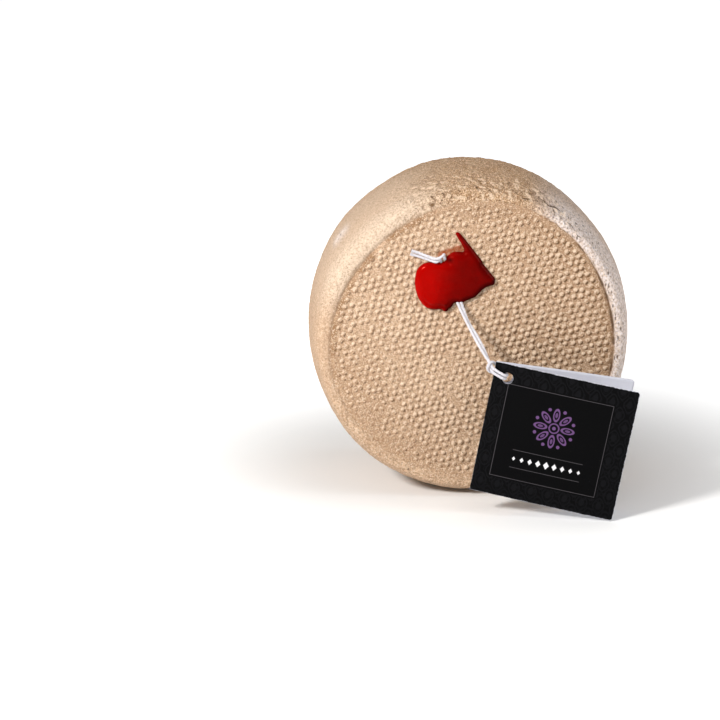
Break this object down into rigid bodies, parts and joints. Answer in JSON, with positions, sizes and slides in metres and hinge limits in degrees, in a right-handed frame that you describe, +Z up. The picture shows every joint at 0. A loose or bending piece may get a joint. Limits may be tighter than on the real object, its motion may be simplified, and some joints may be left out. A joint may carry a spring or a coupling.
{
  "type": "pecorino cheese wheel",
  "caption": "Small ripened pecorino wheel standing on its rim, with a poured red wax seal, a doubled white string and a folded card tag.",
  "frame": {"origin": "middle of the small flat spot on the rim, on which the wheel stands", "axes": "+Z up; the wheel's axis lies along Y and its front face, with the wax seal, looks towards -Y"},
  "size_m": [0.1443, 0.1119, 0.1448],
  "materials": {
    "rind": "dry pale tan cheese rind, embossed with small round basket bumps on the faces, coarse and pitted on the rim, with a whitish bloom",
    "wax": "glossy deep red sealing wax, poured and set with a rounded edge",
    "cotton": "soft white twisted cotton string",
    "card": "black printed card with a satin surface outside, white inside and at the cut edges"
  },
  "bodies": {
    "root": {"wheel": "rind", "wax_seal": "wax", "string": "cotton", "string_tail_1": "cotton", "string_tail_2": "cotton", "tag": "card"}
  },
  "joints": []
}
